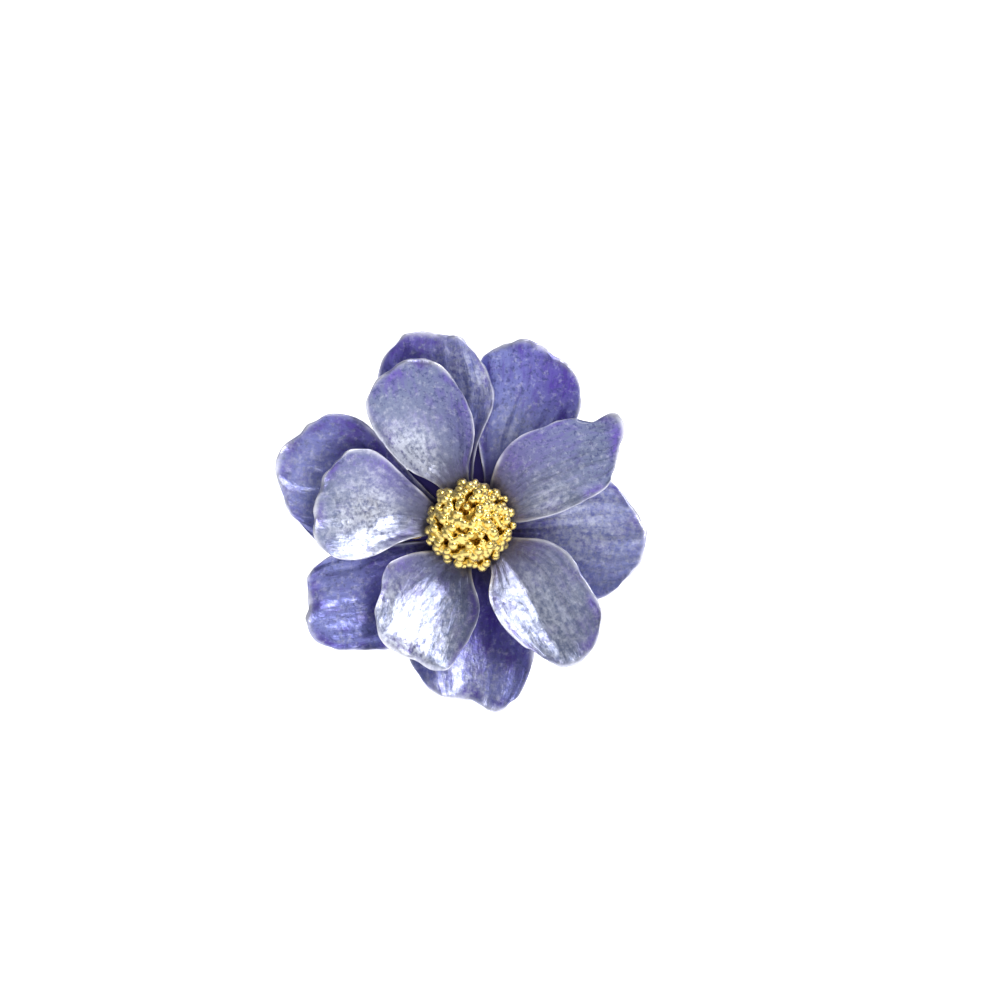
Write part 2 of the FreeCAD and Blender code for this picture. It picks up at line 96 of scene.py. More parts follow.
def keep_mesh(name, vertices, faces):
    """A smooth-shaded mesh object, linked to the scene."""
    mesh = bpy.data.meshes.new(name)
    mesh.from_pydata(vertices, [], faces)
    mesh.update()
    mesh.polygons.foreach_set("use_smooth", [True] * len(mesh.polygons))
    item = bpy.data.objects.new(name, mesh)
    bpy.context.scene.collection.objects.link(item)
    return item


SHEET_HALF = 1.6
SHEET_FLOOR = -90 * MM
SHEET_WALL = 0.7
SHEET_BEND = 0.3
SHEET_STEPS = 12
SHEET_GLOW = 0.8
WORLD_LIGHT = 0.17
WORLD_SEEN = 0.82
profile = [(-SHEET_HALF, SHEET_FLOOR), (-0.3, SHEET_FLOOR), (0, SHEET_FLOOR)]
for step in range(SHEET_STEPS + 1):
    angle = math.radians(90 * step / SHEET_STEPS)
    profile.append((SHEET_WALL - SHEET_BEND + SHEET_BEND * math.sin(angle),
                    SHEET_FLOOR + SHEET_BEND - SHEET_BEND * math.cos(angle)))
profile.append((SHEET_WALL, SHEET_HALF))
sheet_points = [(side * SHEET_HALF, y, z) for y, z in profile for side in (-1, 1)]
sheet_faces = [(2 * i, 2 * i + 1, 2 * i + 3, 2 * i + 2) for i in range(len(profile) - 1)]
backdrop = keep_mesh("backdrop", sheet_points, sheet_faces)
paper, paper_tree, paper_shader = new_material("white_backdrop")
set_inputs(paper_shader, Base_Color=(0.93, 0.93, 0.93, 1), Roughness=0.9, Specular_IOR_Level=0.1,
           Emission_Strength=SHEET_GLOW)
place = paper_tree.nodes.new("ShaderNodeSeparateXYZ")
paper_tree.links.new(paper_tree.nodes.new("ShaderNodeTexCoord").outputs["Object"], place.inputs[0])
# The sheet glows less in front of the flower, where it would light the petals from below.
glow = paper_tree.nodes.new("ShaderNodeMapRange")
set_inputs(glow, From_Min=-0.25, From_Max=0.2, To_Min=0.4, To_Max=1.0)
paper_tree.links.new(place.outputs["Y"], glow.inputs["Value"])
paper_tree.links.new(glow.outputs["Result"], paper_shader.inputs["Emission Color"])
backdrop.data.materials.append(paper)


def soft_light(name, direction, distance, width, power, colour=(1, 1, 1)):
    """A square soft box that points at the flower."""
    lamp = bpy.data.lights.new(name, "AREA")
    lamp.size = width
    lamp.energy = power
    lamp.color = colour
    box = bpy.data.objects.new(name, lamp)
    way = Vector(direction).normalized()
    box.location = way * distance
    box.rotation_euler = way.to_track_quat("Z", "Y").to_euler()
    bpy.context.scene.collection.objects.link(box)


soft_light("key_box", (0.5, -0.8, 0.62), 0.6, 0.28, 2.55)
soft_light("fill_box", (-0.8, -0.7, 0.15), 0.7, 0.40, 0.25, (0.93, 0.96, 1))
soft_light("top_box", (-0.1, -0.25, 1.0), 0.6, 0.30, 0.45)
world = bpy.data.worlds.new("studio")
world.use_nodes = True
set_inputs(world.node_tree.nodes["Background"], Color=(0.95, 0.97, 1, 1))
seen = world.node_tree.nodes.new("ShaderNodeMapRange")
set_inputs(seen, To_Min=WORLD_LIGHT, To_Max=WORLD_SEEN)
directly = world.node_tree.nodes.new("ShaderNodeLightPath").outputs["Is Camera Ray"]
world.node_tree.links.new(directly, seen.inputs["Value"])
world.node_tree.links.new(seen.outputs["Result"], world.node_tree.nodes["Background"].inputs["Strength"])
bpy.context.scene.world = world


# --- Petals -----------------------------------------------------------------------------------------
# Eleven petals pressed from sheet metal, each to its own outline, dished and creased, then dipped in
# pearl enamel. A flat claw at each root is clamped in the riveted stack.

# From here on, lengths in the sizes and tables are in millimetres.
THICKNESS = 0.6
RIM_SHARE = 0.62
CLAW_START = 1.5
CLAW_END = 3.2
CLAW_START_WIDTH = 1.3
CLAW_END_WIDTH = 2.4
PLATE_FRONT = -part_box("back_plate")[0].y / MM
SPACER_FRONT = -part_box("layer_spacer")[0].y / MM
ROWS = 26
COLUMNS = 24
CLAW_ROWS = 3
CLAW_SHARE = 0.2
EDGE_CROWDING = 0.6
ROUNDING_LEVELS = 2
STREAKS_ACROSS = 13
STREAKS_ALONG = 1.6
OUTER_STREAKS = 0.12
INNER_STREAKS = 0.07
INNER_SEED = 20
MARK_SPACING = 1.5
MARK_HEIGHT = 0.045
CRUMPLE_SPACING = 0.55
CRUMPLE_HEIGHT = 0.02
BLADE_LENGTH = 15
BLADE_WIDTH = 12
RIM_RIPPLE = 0.42
RIPPLE_SPACING = 2.3
RIM_SCALLOP = 0.34
SCALLOP_SPACING = 1.7
RIPPLE_REACH = 1.3
# Width of the pale rim, partly paler enamel and partly a painted highlight.
PALE_RIM_AND_HIGHLIGHT_WIDTH = 0.36
STAINED_BORDER = 0.8
STAINED_BORDER_WIDTH = 0.7
# How far along each petal the painted shade at its root reaches.
ROOT_SHADE_REACH = 0.34

# Per petal: claw direction in degrees, dish depth, crease depth, where across it runs and its width,
# the two rim points that end the tip, and the rim as (x, z, front) in millimetres, from the
# anticlockwise side. Then where dark violet lies, partly painted shade near neighbouring petals, and
# where the painted highlight lies, each as (along, across, spread, strength).
OUTER_PETALS = [
    (105, 0.4, 0.3, 0.5, 0.15, (4, 8), [
        (-3.4, 5.2, 1.9), (-7.4, 9.2, 2.6), (-9.7, 13.0, 3.3), (-9.9, 16.1, 4.0), (-8.2, 19.4, 4.7),
        (-6.1, 20.75, 5.0), (-3.6, 20.6, 4.8), (-1.2, 20.3, 4.9), (0.6, 18.4, 4.8), (2.1, 15.9, 4.5),
        (2.65, 13.9, 4.1), (2.1, 11.6, 3.5), (1.1, 9.4, 2.9), (0.4, 6.0, 2.0)],
     (0.95, 0.25, 0.25, 0.8), (0.75, 0.85, 0.28, 0.6)),
    (45, 0.4, 0.25, 0.5, 0.2, (4, 9), [
        (1.5, 5.6, 1.7), (0.9, 9.0, 1.85), (1.1, 12.0, 2.2), (1.1, 15.0, 2.8), (1.3, 18.1, 3.4),
        (3.6, 19.4, 4.0), (6.1, 20.1, 4.5), (8.6, 18.7, 4.4), (10.9, 16.9, 4.5), (11.85, 14.4, 4.2),
        (11.5, 11.4, 3.5), (9.0, 7.6, 2.6), (5.4, 4.2, 1.8)],
     (0.88, 0.7, 0.22, 0.8), (0.4, 0.45, 0.2, 0.5)),
    (-15, 0.4, 0.4, 0.4, 0.12, (3, 7), [
        (5.4, 1.9, 1.9), (9.4, 4.6, 2.7), (13.0, 5.6, 3.4), (15.8, 4.2, 3.9), (17.9, 1.3, 4.2),
        (19.05, -1.4, 4.5), (18.0, -4.3, 4.2), (15.9, -6.7, 4.1), (13.2, -8.1, 3.6), (9.6, -7.2, 2.9),
        (5.0, -4.0, 1.9)],
     (0.1, 0.5, 0.3, 0.6), (0.6, 0.35, 0.4, 0.7)),
    (-75, 0.4, 0.3, 0.45, 0.2, (4, 8), [
        (2.6, -5.2, 1.9), (5.4, -8.6, 2.5), (6.9, -12.2, 3.0), (6.5, -15.9, 3.7), (4.7, -19.0, 4.3),
        (2.5, -20.05, 4.5), (0.4, -19.0, 3.9), (-2.6, -18.5, 4.1), (-5.0, -16.9, 3.9),
        (-6.5, -14.3, 3.4), (-5.4, -10.2, 2.7), (-1.9, -5.6, 1.9)],
     (0.45, 0.35, 0.35, 0.8), (0.9, 0.6, 0.25, 0.6)),
    (225, 0.3, 0.45, 0.42, 0.12, (4, 9), [
        (-3.0, -4.9, 1.9), (-6.2, -9.4, 2.5), (-8.2, -13.1, 3.3), (-11.4, -13.4, 3.6),
        (-14.6, -13.3, 4.1), (-17.1, -12.0, 4.4), (-17.6, -10.1, 4.3), (-17.3, -8.3, 3.9),
        (-17.65, -6.5, 4.1), (-16.5, -4.3, 3.9), (-14.2, -2.9, 3.5), (-10.0, -2.2, 2.7),
        (-5.2, -1.7, 1.9)],
     (0.35, 0.5, 0.3, 0.7), (0.75, 0.6, 0.3, 0.1)),
    (165, 0.4, 0.3, 0.55, 0.2, (4, 9), [
        (-5.0, -0.4, 1.9), (-9.6, -1.0, 2.7), (-13.6, -1.6, 3.3), (-16.0, -2.1, 3.7),
        (-17.6, -0.5, 3.9), (-19.4, 1.6, 4.4), (-20.6, 4.8, 4.6), (-20.7, 7.5, 4.9), (-18.2, 10.0, 4.6),
        (-15.6, 11.8, 4.5), (-12.6, 11.8, 4.0), (-10.0, 9.9, 3.3), (-6.6, 5.8, 2.4), (-4.2, 3.4, 1.9)],
     (0.55, 0.95, 0.3, 0.7), (0.8, 0.4, 0.3, 0.35)),
]
INNER_PETALS = [
    (108, 1.8, 0.2, 0.5, 0.2, (4, 8), [
        (-3.3, 4.1, 3.8), (-6.2, 5.7, 5.2), (-8.9, 8.3, 6.6), (-10.8, 11.6, 7.5), (-10.6, 14.3, 8.0),
        (-8.4, 16.8, 8.4), (-5.9, 17.95, 8.7), (-2.9, 16.8, 8.5), (-0.8, 14.2, 8.1), (0.4, 11.3, 7.4),
        (0.45, 8.8, 6.2), (-0.1, 6.2, 4.6)],
     (0.6, 1.0, 0.25, 0.45), (0.4, 0.1, 0.24, 1.8)),
    (36, 0.9, 0.2, 0.4, 0.2, (6, 10), [
        (2.3, 5.0, 4.1), (3.2, 7.4, 5.4), (5.2, 9.5, 6.7), (8.4, 10.85, 7.5), (10.6, 11.4, 7.8),
        (12.5, 10.8, 7.5), (14.3, 11.7, 7.8), (15.6, 11.9, 8.1), (16.5, 10.6, 8.0), (16.0, 8.2, 7.5),
        (15.2, 4.9, 6.6), (12.4, 2.6, 5.9), (9.0, 1.1, 5.1), (6.6, 0.5, 4.3), (4.7, 0.3, 3.7)],
     (0.3, 0.0, 0.3, 0.6), (0.45, 0.9, 0.25, 0.7)),
    (-40, 1.1, 0.6, 0.55, 0.12, (5, 8), [
        (5.2, -1.3, 3.8), (8.0, -1.5, 5.0), (10.7, -3.1, 6.1), (12.5, -6.0, 6.9), (13.95, -8.7, 7.3),
        (13.9, -11.2, 7.6), (12.6, -14.0, 7.5), (10.2, -15.2, 7.3), (7.6, -14.0, 7.0),
        (4.7, -12.0, 6.8), (2.6, -9.3, 6.3), (2.0, -7.2, 5.3), (2.3, -5.0, 4.1)],
     (0.15, 0.2, 0.25, 0.5), (0.6, 0.65, 0.45, 0.7)),
    (-106, 1.7, 0.2, 0.5, 0.25, (4, 8), [
        (0.3, -5.6, 4.2), (0.9, -7.6, 5.3), (1.1, -9.4, 6.2), (0.1, -11.8, 7.0), (-1.5, -14.4, 7.4),
        (-3.0, -15.6, 7.5), (-5.6, -14.6, 7.4), (-9.0, -12.6, 7.4), (-10.1, -9.6, 7.4),
        (-9.6, -6.9, 7.0), (-9.2, -4.7, 6.9), (-7.0, -3.2, 5.8), (-4.2, -2.7, 4.1)],
     (0.5, 1.0, 0.22, 0.5), (0.85, 0.6, 0.3, 1.3)),
    (176, 1.8, 0.2, 0.48, 0.25, (4, 8), [
        (-5.2, -1.2, 3.9), (-7.6, -1.9, 5.1), (-9.6, -3.0, 6.2), (-12.2, -3.75, 6.9),
        (-15.0, -3.1, 7.3), (-16.6, -0.8, 7.6), (-16.5, 1.8, 7.7), (-15.8, 4.6, 7.7),
        (-14.2, 6.9, 7.6), (-12.0, 8.2, 7.3), (-10.2, 8.0, 6.9), (-7.6, 5.9, 5.9), (-4.6, 3.1, 4.1)],
     (0.5, 0.95, 0.25, 0.6), (0.6, 0.32, 0.3, 1.3)),
]


def spline_through(points):
    """A natural cubic spline by length along the points: the stops, and a function of the length."""
    points = np.array(points, float)
    gaps = np.linalg.norm(np.diff(points, axis=0), axis=1)
    stops = np.concatenate([[0], np.cumsum(gaps)])
    count = len(points)
    system = np.eye(count)
    turn = np.zeros((count, 3))
    for i in range(1, count - 1):
        system[i, i - 1:i + 2] = gaps[i - 1], 2 * (gaps[i - 1] + gaps[i]), gaps[i]
        turn[i] = 6 * ((points[i + 1] - points[i]) / gaps[i] - (points[i] - points[i - 1]) / gaps[i - 1])
    bend = np.linalg.solve(system, turn)

    def value(length):
        length = np.asarray(length, float)
        i = np.clip(np.searchsorted(stops, length) - 1, 0, count - 2)
        gap, after, before = gaps[i], length - stops[i], stops[i + 1] - length
        gap, after, before = gap[..., None], after[..., None], before[..., None]
        return (bend[i] * before ** 3 + bend[i + 1] * after ** 3) / (6 * gap) + (
            points[i] / gap - bend[i] * gap / 6) * before + (
            points[i + 1] / gap - bend[i + 1] * gap / 6) * after

    return stops, value


def petal_patch(claw_front, turn, dish, crease, crease_at, crease_width, tip, rim):
    """A petal's front face as a function of s, from claw to tip, and t, across; its slope and way out."""
    outward = np.array([math.cos(math.radians(turn)), math.sin(math.radians(turn)), 0])
    sideways = np.array([-outward[1], outward[0], 0]) * CLAW_END_WIDTH / 2
    root_front = claw_front + THICKNESS
    root = outward * CLAW_END + np.array([0, 0, root_front])
    points = [root + sideways] + [np.array(place) for place in rim] + [root - sideways]
    stops, outline = spline_through(points)
    tip_start, tip_end = stops[tip[0] + 1], stops[tip[1] + 1]
    near_a, near_b, far_a, far_b = points[0], points[-1], points[tip[0] + 1], points[tip[1] + 1]
    rise = np.mean([place[2] for place in rim[tip[0]:tip[1] + 1]]) - root_front
    slope = math.atan2(rise, ((far_a + far_b) / 2 - root) @ outward)

    def place(s, t):
        wide, long = t[..., None], s[..., None]
        first = outline(tip_start * s)
        second = outline(stops[-1] + (tip_end - stops[-1]) * s)
        end = outline(tip_start + (tip_end - tip_start) * t)
        near = near_a * (1 - wide) + near_b * wide
        far = far_a * (1 - wide) + far_b * wide
        here = first * (1 - wide) + second * wide + near * (1 - long) + end * long
        here = here - near * (1 - long) - far * long
        fold = np.exp(-(((t - crease_at) / crease_width) ** 2))
        here[..., 2] -= (4 * t * (1 - t) * dish + fold * crease) * np.sin(np.pi * s) ** 2
        return here

    return place, slope, outward


def petal_grid(claw_front, form):
    """Front and rear points of a petal, claw included, with s and t for each: claw rows have s < 0."""
    place, slope, outward = petal_patch(claw_front, *form)
    even = np.linspace(0, 1, COLUMNS)
    across = EDGE_CROWDING * (1 - np.cos(np.pi * even)) / 2 + (1 - EDGE_CROWDING) * even
    along = np.linspace(0, 1, ROWS) ** 0.9
    s, t = np.meshgrid(along, across, indexing="ij")
    front = place(s, t)
    lean = slope * np.sin(np.pi / 2 * s)
    edge = np.maximum(s ** 4, np.abs(2 * t - 1) ** 8 * np.minimum(1, 3 * s))
    depth = THICKNESS * (1 - (1 - RIM_SHARE) * edge)
    back = outward * np.sin(lean)[..., None] - np.array([0, 0, 1.0]) * np.cos(lean)[..., None]
    rear = front + back * depth[..., None]
    claw_s = np.linspace(-CLAW_SHARE, 0, CLAW_ROWS + 1)[:-1]
    claw_rows = []
    for share in np.linspace(0, 1, CLAW_ROWS + 1)[:-1]:
        reach = CLAW_START + (CLAW_END - CLAW_START) * share
        half = (CLAW_START_WIDTH + (CLAW_END_WIDTH - CLAW_START_WIDTH) * share) / 2
        side = np.array([-outward[1], outward[0], 0])
        row = outward * reach + side * (half * (1 - 2 * across))[:, None]
        row[:, 2] = claw_front + THICKNESS
        claw_rows.append(row)
    claw = np.array(claw_rows)
    front = np.concatenate([claw, front])
    rear = np.concatenate([claw - np.array([0, 0, THICKNESS]), rear])
    s = np.concatenate([np.repeat(claw_s[:, None], COLUMNS, 1), s])
    t = np.concatenate([np.repeat(across[None, :], CLAW_ROWS, 0), t])
    return front, rear, s, t


def round_off(item):
    """Subdivides the object's mesh and keeps the result on it."""
    rounding = item.modifiers.new("rounding", "SUBSURF")
    rounding.levels = ROUNDING_LEVELS
    rounding.render_levels = ROUNDING_LEVELS
    graph = bpy.context.evaluated_depsgraph_get()
    rounded = bpy.data.meshes.new_from_object(item.evaluated_get(graph))
    item.modifiers.clear()
    old = item.data
    item.data = rounded
    bpy.data.meshes.remove(old)
    rounded.name = item.name
    rounded.polygons.foreach_set("use_smooth", [True] * len(rounded.polygons))


def read_points(mesh):
    """The mesh's points, one row each."""
    points = np.empty(len(mesh.vertices) * 3, np.float32)
    mesh.vertices.foreach_get("co", points)
    return points.reshape(-1, 3).astype(float)


def read_mask(mesh, name):
    """A mask kept on the mesh, one value for each point."""
    values = np.empty(len(mesh.vertices), np.float32)
    mesh.attributes[name].data.foreach_get("value", values)
    return values.astype(float)


def write_mask(mesh, name, values):
    """Keeps a mask on the mesh, where the materials read it."""
    mask = mesh.attributes.get(name) or mesh.attributes.new(name, "FLOAT", "POINT")
    mask.data.foreach_set("value", np.asarray(values, np.float32))


def noise_at(points, seed):
    """Smooth noise between about -1 and 1 at each point."""
    shift = Vector((seed * 7.3, seed * 3.1, seed * 5.7))
    return np.array([noise.noise(Vector(place) + shift) for place in points])


def spot(along, across, middle_along, middle_across, spread, strength):
    """A soft round patch on a petal."""
    far = ((along - middle_along) / spread) ** 2 + ((across - middle_across) / (1.4 * spread)) ** 2
    return strength * np.exp(-far)


def press_petal(name, claw_front, form, violet_and_shade, painted_highlight, seed, streaks):
    """One petal's mesh: a closed sheet, rounded at its rim, with pressed streaks and hammer marks."""
    front, rear, s, t = petal_grid(claw_front, form)
    rows, columns = s.shape
    layers = np.concatenate([front.reshape(-1, 3), rear.reshape(-1, 3)])
    vertices = np.stack([layers[:, 0], -layers[:, 2], layers[:, 1]], axis=1) * MM
    size = rows * columns
    faces = []
    for i in range(rows - 1):
        for j in range(columns - 1):
            a = i * columns + j
            faces.append((a, a + columns, a + columns + 1, a + 1))
            faces.append((a + size, a + size + 1, a + size + columns + 1, a + size + columns))
    edge = list(range(columns))
    edge += [i * columns + columns - 1 for i in range(1, rows)]
    edge += [(rows - 1) * columns + j for j in range(columns - 2, -1, -1)]
    edge += [i * columns for i in range(rows - 2, 0, -1)]
    for a, b in zip(edge, edge[1:] + edge[:1]):
        faces.append((a, b, b + size, a + size))
    petal = keep_mesh(name + "_enamelled", vertices.tolist(), faces)
    write_mask(petal.data, "along", np.concatenate([s.ravel(), s.ravel()]))
    write_mask(petal.data, "across", np.concatenate([t.ravel(), t.ravel()]))
    write_mask(petal.data, "face", np.concatenate([np.ones(size), np.zeros(size)]))
    repair = bmesh.new()
    repair.from_mesh(petal.data)
    bmesh.ops.recalc_face_normals(repair, faces=repair.faces)
    repair.to_mesh(petal.data)
    repair.free()
    round_off(petal)
    mesh = petal.data
    points = read_points(mesh)
    along, across, face = [read_mask(mesh, mask) for mask in ("along", "across", "face")]
    normals = np.empty(len(mesh.vertices) * 3, np.float32)
    mesh.vertices.foreach_get("normal", normals)
    normals = normals.reshape(-1, 3)
    free = np.clip(along * 4, 0, 1)
    streak = np.stack([across * STREAKS_ACROSS, along * STREAKS_ALONG, face], axis=1)
    marks = noise_at(points / MM / MARK_SPACING, seed + 0.3)
    fine = noise_at(points / MM / CRUMPLE_SPACING, seed + 0.7)
    lift = streaks * noise_at(streak, seed) + MARK_HEIGHT * marks + CRUMPLE_HEIGHT * fine
    width = np.minimum(across, 1 - across) * BLADE_WIDTH * np.clip(along * 1.5 + 0.3, 0, 1)
    to_rim = np.minimum((1 - along) * BLADE_LENGTH, width)
    flat = points * np.array([1, 0, 1]) / MM
    wave = noise_at(flat / RIPPLE_SPACING, seed + 0.1)
    shift = noise_at(flat / SCALLOP_SPACING, seed + 0.5)
    ripple = np.exp(-(to_rim / RIPPLE_REACH) ** 2) * np.clip((along - 0.3) * 3, 0, 1)
    outward = flat / np.maximum(np.linalg.norm(flat, axis=1), 1)[:, None]
    points += normals * (lift * free * MM)[:, None]
    points[:, 1] += RIM_RIPPLE * MM * wave * ripple
    points += outward * (RIM_SCALLOP * MM * shift * ripple)[:, None]
    mesh.vertices.foreach_set("co", points.astype(np.float32).ravel())
    # Pale rim: paler enamel at the edge with a painted highlight along it.
    pale_rim_and_highlight = np.exp(-(to_rim / PALE_RIM_AND_HIGHLIGHT_WIDTH) ** 2)
    write_mask(mesh, "rim", pale_rim_and_highlight * free * np.clip(0.75 + shift, 0, 1))
    # Violet: a violet border just inside the rim, and spots that are partly violet enamel and partly painted
    # shade near the neighbouring petals.
    border = np.exp(-((to_rim - STAINED_BORDER) / STAINED_BORDER_WIDTH) ** 2)
    border = border * np.clip(0.35 + 1.6 * wave, 0, 1) * free
    write_mask(mesh, "violet_and_shade", np.maximum(spot(along, across, *violet_and_shade), 0.85 * border))
    # Painted highlight: pale colour laid where the key light's reflection falls on each petal.
    write_mask(mesh, "painted_highlight", spot(along, across, *painted_highlight))
    # Painted shade at each petal's root, deepest by the stamens.
    write_mask(mesh, "root", np.exp(-(np.clip(along, 0, 1) / ROOT_SHADE_REACH) ** 2))
    mesh.update()
    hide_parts(name)
    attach(petal, "flower")
    return petal


def group_tree(name, inputs, outputs):
    """A shader node group with these named sockets, and its two end nodes."""
    tree = bpy.data.node_groups.new(name, "ShaderNodeTree")
    for socket, kind, value in inputs:
        made = tree.interface.new_socket(socket, in_out="INPUT", socket_type=kind)
        if value is not None:
            made.default_value = value
    for socket, kind in outputs:
        tree.interface.new_socket(socket, in_out="OUTPUT", socket_type=kind)
    return tree, tree.nodes.new("NodeGroupInput"), tree.nodes.new("NodeGroupOutput")


def texture(tree, kind, coordinates, **values):
    """A procedural texture fed with coordinates."""
    node = tree.nodes.new(kind)
    tree.links.new(coordinates, node.inputs["Vector"])
    set_inputs(node, **values)
    return node


def ramp(tree, value, low, high):
    """0 below low, 1 above high, smooth between."""
    node = tree.nodes.new("ShaderNodeMapRange")
    node.interpolation_type = "SMOOTHSTEP"
    tree.links.new(value, node.inputs["Value"])
    set_inputs(node, From_Min=low, From_Max=high)
    return node.outputs["Result"]


def blend_colour(tree, share, first, second, kind="MIX"):
    """Two colours mixed by a share, each a socket or a colour."""
    node = tree.nodes.new("ShaderNodeMix")
    node.data_type = "RGBA"
    node.blend_type = kind
    for socket, value in ((0, share), (6, first), (7, second)):
        if isinstance(value, (int, float, tuple)):
            node.inputs[socket].default_value = value
        else:
            tree.links.new(value, node.inputs[socket])
    return node.outputs[2]


def combine(tree, kind, first, second, clamp=False):
    """A sum on two numbers, each a socket or a value."""
    node = tree.nodes.new("ShaderNodeMath")
    node.operation = kind
    node.use_clamp = clamp
    for socket, value in enumerate((first, second)):
        if isinstance(value, (int, float)):
            node.inputs[socket].default_value = value
        else:
            tree.links.new(value, node.inputs[socket])
    return node.outputs[0]


CLOUD_SCALE = 330.0
GRAIN_SCALE = 2600.0
FLAKE_SCALE = 1500.0
BRUSH_SCALE = 1.6
# Colour of the painted highlights on the petals.
PAINTED_HIGHLIGHT_COLOUR = (0.80, 0.84, 0.98, 1)


def pearl_group():
    """Pearl enamel: cloudy depth of colour, violet partly painted as shade, fine dark and pale flecks, pale
    rims with a painted highlight, painted highlights, painted shade at the roots.
    """
    tree, given, result = group_tree("Pearl enamel", [
        ("Coordinates", "NodeSocketVector", None),
        ("Flow", "NodeSocketVector", None),
        ("Pale", "NodeSocketColor", (0.4, 0.42, 0.7, 1)),
        ("Deep", "NodeSocketColor", (0.08, 0.06, 0.3, 1)),
        ("Fleck", "NodeSocketColor", (0.05, 0.06, 0.2, 1)),
        ("Rim colour", "NodeSocketColor", (0.9, 0.9, 0.98, 1)),
        ("Root colour", "NodeSocketColor", (0.02, 0.02, 0.07, 1)),
        ("Fleck amount", "NodeSocketFloat", 0.5),
        ("Violet and shade", "NodeSocketFloat", 0.0),
        ("Painted highlight", "NodeSocketFloat", 0.0),
        ("Rim", "NodeSocketFloat", 0.0),
        ("Root", "NodeSocketFloat", 0.0),
    ], [("Color", "NodeSocketColor"), ("Roughness", "NodeSocketFloat"), ("Height", "NodeSocketFloat")])
    at = given.outputs["Coordinates"]
    cloud = texture(tree, "ShaderNodeTexNoise", at, Scale=CLOUD_SCALE, Detail=3.0, Roughness=0.55)
    grain = texture(tree, "ShaderNodeTexNoise", at, Scale=GRAIN_SCALE, Detail=2.0, Roughness=0.6)
    flake = texture(tree, "ShaderNodeTexNoise", at, Scale=FLAKE_SCALE, Detail=3.0, Roughness=0.7)
    brush = texture(tree, "ShaderNodeTexNoise", given.outputs["Flow"], Scale=BRUSH_SCALE, Detail=4.0,
                    Roughness=0.65)
    deep = combine(tree, "MULTIPLY", cloud.outputs["Fac"], brush.outputs["Fac"])
    deep = combine(tree, "MULTIPLY", ramp(tree, deep, 0.2, 0.42), 0.55)
    # The violet mask deepens the colour, partly as violet enamel and partly as painted shade.
    deep = combine(tree, "ADD", deep, given.outputs["Violet and shade"], clamp=True)
    colour = blend_colour(tree, deep, given.outputs["Pale"], given.outputs["Deep"])
    dark = ramp(tree, grain.outputs["Fac"], 0.5, 0.68)
    dark = combine(tree, "MULTIPLY", dark, given.outputs["Fleck amount"])
    colour = blend_colour(tree, dark, colour, given.outputs["Fleck"])
    light = combine(tree, "MULTIPLY", ramp(tree, flake.outputs["Fac"], 0.5, 0.75), 0.24)
    colour = blend_colour(tree, light, colour, given.outputs["Rim colour"])
    # Painted highlight, laid on in a broken, flecked pattern where its mask is strong.
    highlight_pattern = combine(tree, "MULTIPLY", combine(tree, "ADD", brush.outputs["Fac"], grain.outputs["Fac"]), 0.7)
    highlight_pattern = combine(tree, "ADD", highlight_pattern, flake.outputs["Fac"])
    painted_highlight = combine(tree, "MULTIPLY", given.outputs["Painted highlight"], ramp(tree, highlight_pattern, 0.85, 1.55))
    painted_highlight = combine(tree, "MINIMUM", painted_highlight, 0.85)
    colour = blend_colour(tree, painted_highlight, colour, PAINTED_HIGHLIGHT_COLOUR)
    # Painted shade at the roots.
    root = combine(tree, "MULTIPLY", given.outputs["Root"], 0.95)
    colour = blend_colour(tree, root, colour, given.outputs["Root colour"])
    # Pale rim, partly paler enamel and partly a painted highlight.
    rim = combine(tree, "MULTIPLY", given.outputs["Rim"], 0.75)
    colour = blend_colour(tree, rim, colour, given.outputs["Rim colour"])
    tree.links.new(colour, result.inputs["Color"])
    rough = combine(tree, "MULTIPLY", grain.outputs["Fac"], 0.25)
    tree.links.new(combine(tree, "ADD", rough, 0.25), result.inputs["Roughness"])
    relief = combine(tree, "MULTIPLY", combine(tree, "ADD", cloud.outputs["Fac"], brush.outputs["Fac"]), 2.0)
    relief = combine(tree, "ADD", relief, flake.outputs["Fac"])
    tree.links.new(combine(tree, "ADD", relief, grain.outputs["Fac"]), result.inputs["Height"])
    return tree


pearl = pearl_group()


def attribute(tree, name):
    """A mask that the mesh keeps."""
    node = tree.nodes.new("ShaderNodeAttribute")
    node.attribute_name = name
    return node.outputs["Fac"]


def surface_coordinates(tree):
    """Each point's own place on its object, in metres."""
    return tree.nodes.new("ShaderNodeTexCoord").outputs["Object"]


def use_group(tree, shader, group, depth, **values):
    """Puts a group in a material: colour, roughness and relief go to the shader."""
    node = tree.nodes.new("ShaderNodeGroup")
    node.node_tree = group
    set_inputs(node, **values)
    tree.links.new(surface_coordinates(tree), node.inputs["Coordinates"])
    tree.links.new(node.outputs["Color"], shader.inputs["Base Color"])
    tree.links.new(node.outputs["Roughness"], shader.inputs["Roughness"])
    bump = tree.nodes.new("ShaderNodeBump")
    set_inputs(bump, Strength=0.5, Distance=depth)
    tree.links.new(node.outputs["Height"], bump.inputs["Height"])
    tree.links.new(bump.outputs["Normal"], shader.inputs["Normal"])
    return node


